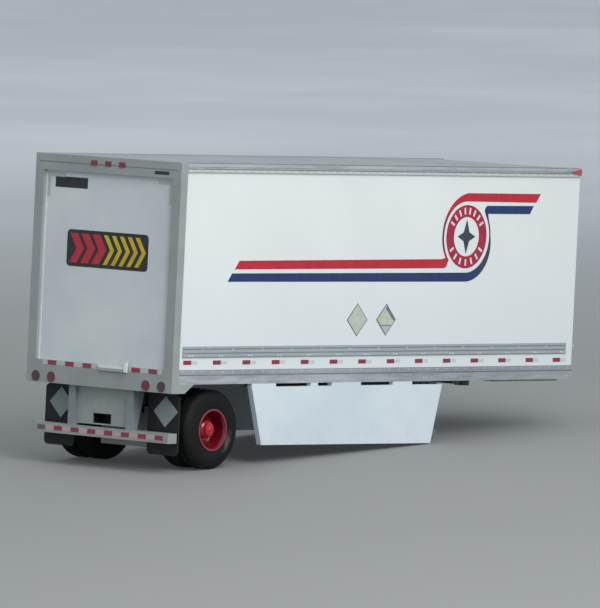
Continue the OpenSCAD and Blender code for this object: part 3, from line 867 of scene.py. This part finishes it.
# Door seals, partly painted highlight: white strips down both door edges, brighter than the door,
# for the edges catching the light.
seal_highlights = [rectangle(s * door[1].x - 0.2 - 0.2 * s, s * door[1].x + 0.2 - 0.2 * s, door[0].z,
                   door[1].z) for s in (-1, 1)]
rear_marks("door_seal_highlights", rivet_white, seal_highlights, DOOR_Y, 0.12)
BOARD = (-11.2, 11.4, 41.0, 48.7)          # the chevron board: X, X, Z, Z
board_z = (BOARD[2] + BOARD[3]) / 2
rear_marks("board_black", plate_black, [rounded(*BOARD, 0.9)], DOOR_Y)
rear_marks("board_red", plate_red,
           [chevron(BOARD[0] + 0.8 + 3.1 * k, board_z, 3.1, 1.9, 2.1) for k in range(3)],
           DOOR_Y, 2 * INK_T)
rear_marks("board_yellow", plate_yellow,
           [chevron(BOARD[0] + 10.2 + 2.2 * k, board_z, 3.1, 1.9, 1.1) for k in range(5)],
           DOOR_Y, 2 * INK_T)
bezels = bmesh.new()
for name in frame["nodes"]:
    if name.startswith("tail_lamp"):
        low, high = level_box(name)
        hoop(bezels, ((low.x + high.x) / 2, (low.z + high.z) / 2), 1.08, 1.24,
             rear[0].y - 0.1, rear[0].y + SUNK, "rear", 48)
opening = next(m for m in frame["record"]["mounts"] if m["name"] == "rear_hitch_opening")
mouth = TO_LEVEL @ Vector(opening["pos_m"])
# Painted shade: a black sheet lines the hitch opening, so that its inside reads dark.
MOUTH_W, MOUTH_H, MOUTH_DEEP, SHADE_SHEET_T = 5.1, 2.1, 3.1, 0.1
shade_sheet = bmesh.new()
ends = (mouth.x - MOUTH_W / 2, mouth.x + MOUTH_W / 2, mouth.z - MOUTH_H / 2, mouth.z + MOUTH_H / 2)
for outline in (rectangle(ends[0], ends[0] + SHADE_SHEET_T, *ends[2:]),
                rectangle(ends[1] - SHADE_SHEET_T, ends[1], *ends[2:]),
                rectangle(ends[0] + SHADE_SHEET_T, ends[1] - SHADE_SHEET_T, ends[2], ends[2] + SHADE_SHEET_T),
                rectangle(ends[0] + SHADE_SHEET_T, ends[1] - SHADE_SHEET_T, ends[3] - SHADE_SHEET_T, ends[3])):
    slab(shade_sheet, outline, mouth.y + 0.25, mouth.y + MOUTH_DEEP, "rear")
slab(shade_sheet, rectangle(*ends), mouth.y + MOUTH_DEEP, mouth.y + MOUTH_DEEP + SHADE_SHEET_T, "rear")
close_piece("hitch_opening_shade_sheet", shade_sheet, flap_black)
close_piece("tail_lamp_bezels", bezels, grey_frame)
print("door face at Y", round(DOOR_Y, 2))

# %% [markdown]
# A tyre is a lathe shape: one half-profile turned about the axle. The profile has a round sidewall
# with a bead step and a raised band, and four grooves in the tread. The shoulder lugs repeat round
# the tyre, as wedges built one after another on a circle.

# %% Tyres
TYRE_W = tyre[1].x - tyre[0].x
WAIST_R = 6.0                    # where the sidewall bulges most
SHOULDER = 1.3                   # how far the shoulder rounds in from the sidewall
GROOVES = (-0.75, -0.25, 0.25, 0.75)


def sidewall(angle, proud=0.0):
    """A point (radius, offset across) on the oval sidewall."""
    a = math.radians(angle)
    return (WAIST_R + (TYRE_R - WAIST_R) * math.sin(a),
            TYRE_W / 2 - SHOULDER + (SHOULDER + proud) * math.cos(a))


def tyre_profile():
    """Closed loop of (radius, offset across) for one tyre."""
    side = []
    for angle in range(-55, 91, 5):
        recessed = -22 < angle < 27
        side.append(sidewall(angle, -0.05 if recessed else 0.0))
    tread = []
    for g in sorted(GROOVES, reverse=True):
        tread += [(TYRE_R, g + 0.1), (TYRE_R - 0.28, g + 0.06),
                  (TYRE_R - 0.28, g - 0.06), (TYRE_R, g - 0.1)]
    return side + tread + [(r, -x) for r, x in reversed(side)]


def lathe(bm, profile, x, steps):
    """Turns a closed profile about the axle, its middle at level X."""
    rings = []
    for k in range(steps):
        a = 2 * math.pi * k / steps
        rings.append([bm.verts.new((x + across, AXLE.y + r * math.cos(a),
                                    AXLE.z + r * math.sin(a))) for r, across in profile])
    for k in range(steps):
        here, there = rings[k], rings[(k + 1) % steps]
        for i in range(len(profile)):
            j = (i + 1) % len(profile)
            bm.faces.new((here[i], here[j], there[j], there[i]))


def on_circle(radius, count, x, start=0.0):
    return [(x, AXLE.y + radius * math.cos(2 * math.pi * (k + start) / count),
             AXLE.z + radius * math.sin(2 * math.pi * (k + start) / count))
            for k in range(count)]


def shoulder_lugs(bm, x, count=60):
    """Lugs that cross the tyre's shoulders, one wedge after another."""
    for s in (-1, 1):
        for k in range(count):
            a = 2 * math.pi * (k + (0.5 if s > 0 else 0)) / count
            along = Vector((0, math.cos(a), math.sin(a)))
            round_it = Vector((0, -math.sin(a), math.cos(a))) * 0.17
            middle = Vector((x, AXLE.y, AXLE.z))
            path = [sidewall(a, 0.08) for a in (88, 68, 48)]
            path += [sidewall(a, -0.15) for a in (45, 85)]
            ends = []
            for t in (-1, 1):
                ends.append([bm.verts.new(middle + along * r + Vector((s * w, 0, 0))
                                          + round_it * t) for r, w in path])
            bm.faces.new(ends[0])
            bm.faces.new(list(reversed(ends[1])))
            for i in range(len(path)):
                j = (i + 1) % len(path)
                bm.faces.new((ends[0][i], ends[1][i], ends[1][j], ends[0][j]))


for side in ("left", "right"):
    for place in ("outer", "inner"):
        node = f"tyre_{side}_{place}"
        low, high = level_box(node)
        x = (low.x + high.x) / 2
        bm = bmesh.new()
        lathe(bm, tyre_profile(), x, 120)
        shoulder_lugs(bm, x)
        piece = close_piece(f"{node}_moulded", bm, rubber, f"wheels_{side}", smooth=40)
        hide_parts(node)
print("tyre outline points:", len(tyre_profile()))

# %% [markdown]
# Each outer rim has ten lug nuts round its hub and a cap with a small filler plug. The
# nuts are the six-sided unit on a circle, turned to face along the axle.

# %% Lug nuts and hub caps
NUT_CIRCLE = 2.32
for side, s in (("right", 1), ("left", -1)):
    low, high = level_box(f"rim_{side}_outer")
    disc_x = s * (min(abs(low.x), abs(high.x)) + 0.98)
    repeated(f"lug_nuts_{side}", nut_tree, on_circle(NUT_CIRCLE, 10, disc_x), (0.17, 0.17, 0.5),
             red_plastic, turn=(0, math.pi / 2, 0), body=f"wheels_{side}", smooth=30)
    hub_x = s * (tyre[1].x - 1.5)
    bm = bmesh.new()
    cap = [(0, 0.82), (0.45, 0.8), (0.55, 0.7), (1.15, 0.64), (1.4, 0.5), (1.48, 0.1),
           (1.62, 0.06), (1.62, -0.02), (1.34, -0.02), (1.34, 0.5), (0, 0.52)]
    lathe(bm, [(r, s * w) for r, w in cap], hub_x, 48)
    close_piece(f"hub_cap_{side}", bm, red_plastic, f"wheels_{side}", smooth=35)
print("lug nuts on a circle of", NUT_CIRCLE, "mm")

# %% [markdown]
# The studio: a pale floor that curves up into a backdrop, soft area lights, and a long
# lens. The big light stands on the curb side, so the side wall is bright and the rear
# face falls into a soft shade.

# %% Floor and backdrop


AZIMUTH = math.radians(40.124)             # where the camera looks, on the level trailer
away = Vector((-math.sin(AZIMUTH), math.cos(AZIMUTH), 0))
aside = Vector((away.y, -away.x, 0))


def studio_paper():
    """Pale paper, a little lighter where it rises behind the model, with a faint glow as painted
    fill light that lifts the shadows on it.
    """
    f = Finish("studio_pale_paper")
    far = (f.axis("X") * away.x + f.axis("Y") * away.y).step(-100, 1000)
    mist = f.noise(0.006, 3)
    near = f.blend(mist, ink(128, 129, 129), ink(120, 122, 122))
    back = f.blend(mist.step(0.35, 0.65), ink(226, 230, 234), ink(212, 218, 224))
    # Painted light: the paper glows faintly, which lifts the cast shadows on it.
    return f.surface(base_color=f.blend(far * far, near, back), roughness=0.75,
                     emission_color=ink(214, 220, 226), emission_strength=0.045)


bm = bmesh.new()
BEND_AT, BEND_R, HALF_WIDTH = 2.6, 0.5, 3.0     # metres
sweep = [(-3.0, 0.0), (BEND_AT, 0.0)] + [
    (BEND_AT + BEND_R * math.sin(math.radians(a)), BEND_R - BEND_R * math.cos(math.radians(a)))
    for a in range(10, 91, 10)] + [(BEND_AT + BEND_R, 1.6)]
strips = []
for w in (-HALF_WIDTH, HALF_WIDTH):
    strips.append([bm.verts.new(away * d + aside * w + Vector((0, 0, h))) for d, h in sweep])
for i in range(len(sweep) - 1):
    bm.faces.new((strips[0][i], strips[1][i], strips[1][i + 1], strips[0][i + 1]))
mesh = bpy.data.meshes.new("studio_floor")
bm.to_mesh(mesh)
bm.free()
mesh.polygons.foreach_set("use_smooth", [True] * len(mesh.polygons))
mesh.materials.append(studio_paper())
floor = bpy.data.objects.new("studio_floor", mesh)
bpy.context.collection.objects.link(floor)
print("floor laid")

# %% [markdown]
# Three soft disks and a dim, even sky light the model. The key stands on the curb side,
# towards the rear, so the wall is brightest at the rear; the top fill shapes the rails,
# and the rear fill lifts the door and the guard out of the shade.

# %% Lights


def soft_light(name, place, size, power, colour=(1, 1, 1), aim=(0, 0, 0.03)):
    data = bpy.data.lights.new(name, "AREA")
    data.shape = "DISK"
    data.size = size
    data.energy = power
    data.color = colour
    lamp = bpy.data.objects.new(name, data)
    lamp.location = place
    lamp.rotation_euler = (Vector(aim) - Vector(place)).to_track_quat("-Z", "Y").to_euler()
    bpy.context.collection.objects.link(lamp)
    return lamp


soft_light("key_curb_side", (0.52, -0.2, 0.45), 0.5, 3.75, (1.0, 0.99, 0.97))
soft_light("top_fill", (0.1, -0.1, 1.1), 0.9, 2.8)
soft_light("rear_fill", (-0.3, -1.0, 0.5), 0.8, 0.15, (0.95, 0.98, 1.0))
world = bpy.data.worlds.new("studio_air")
world.use_nodes = True
world.node_tree.nodes["Background"].inputs["Color"].default_value = ink(214, 222, 226)
world.node_tree.nodes["Background"].inputs["Strength"].default_value = 0.73
bpy.context.scene.world = world
bpy.context.scene.view_settings.view_transform = "Standard"

# %% [markdown]
# The camera is a long lens, far off and low, square to nothing: it looks from behind the
# curb side. Its place and roll are given on the level trailer, then leaned with it.

# %% Camera
CAMERA_MM = Vector((1241.669, -1409.205, 117.883))
ELEVATION = math.radians(2.5099)
ROLL = math.radians(2.7093)
LENS_MM, SENSOR_MM = 532.89, 36.0

forward = Vector((-math.sin(AZIMUTH) * math.cos(ELEVATION),
                  math.cos(AZIMUTH) * math.cos(ELEVATION), -math.sin(ELEVATION)))
flat_right = Vector((forward.y, -forward.x, 0)).normalized()
flat_up = flat_right.cross(forward)
right = flat_right * math.cos(ROLL) + flat_up * math.sin(ROLL)
up = flat_up * math.cos(ROLL) - flat_right * math.sin(ROLL)
aim = Matrix((right, up, -forward)).transposed()
lens_data = bpy.data.cameras.new("studio_camera")
lens_data.lens = LENS_MM
lens_data.sensor_fit = "VERTICAL"
lens_data.sensor_height = SENSOR_MM
lens_data.clip_start = 0.05
lens_data.clip_end = 20
camera = bpy.data.objects.new("studio_camera", lens_data)
camera.matrix_world = Matrix.Translation(LEVEL @ CAMERA_MM) @ (turn.to_3x3() @ aim).to_4x4()
bpy.context.collection.objects.link(camera)
bpy.context.scene.camera = camera
print("camera at", [round(c, 3) for c in camera.matrix_world.translation])
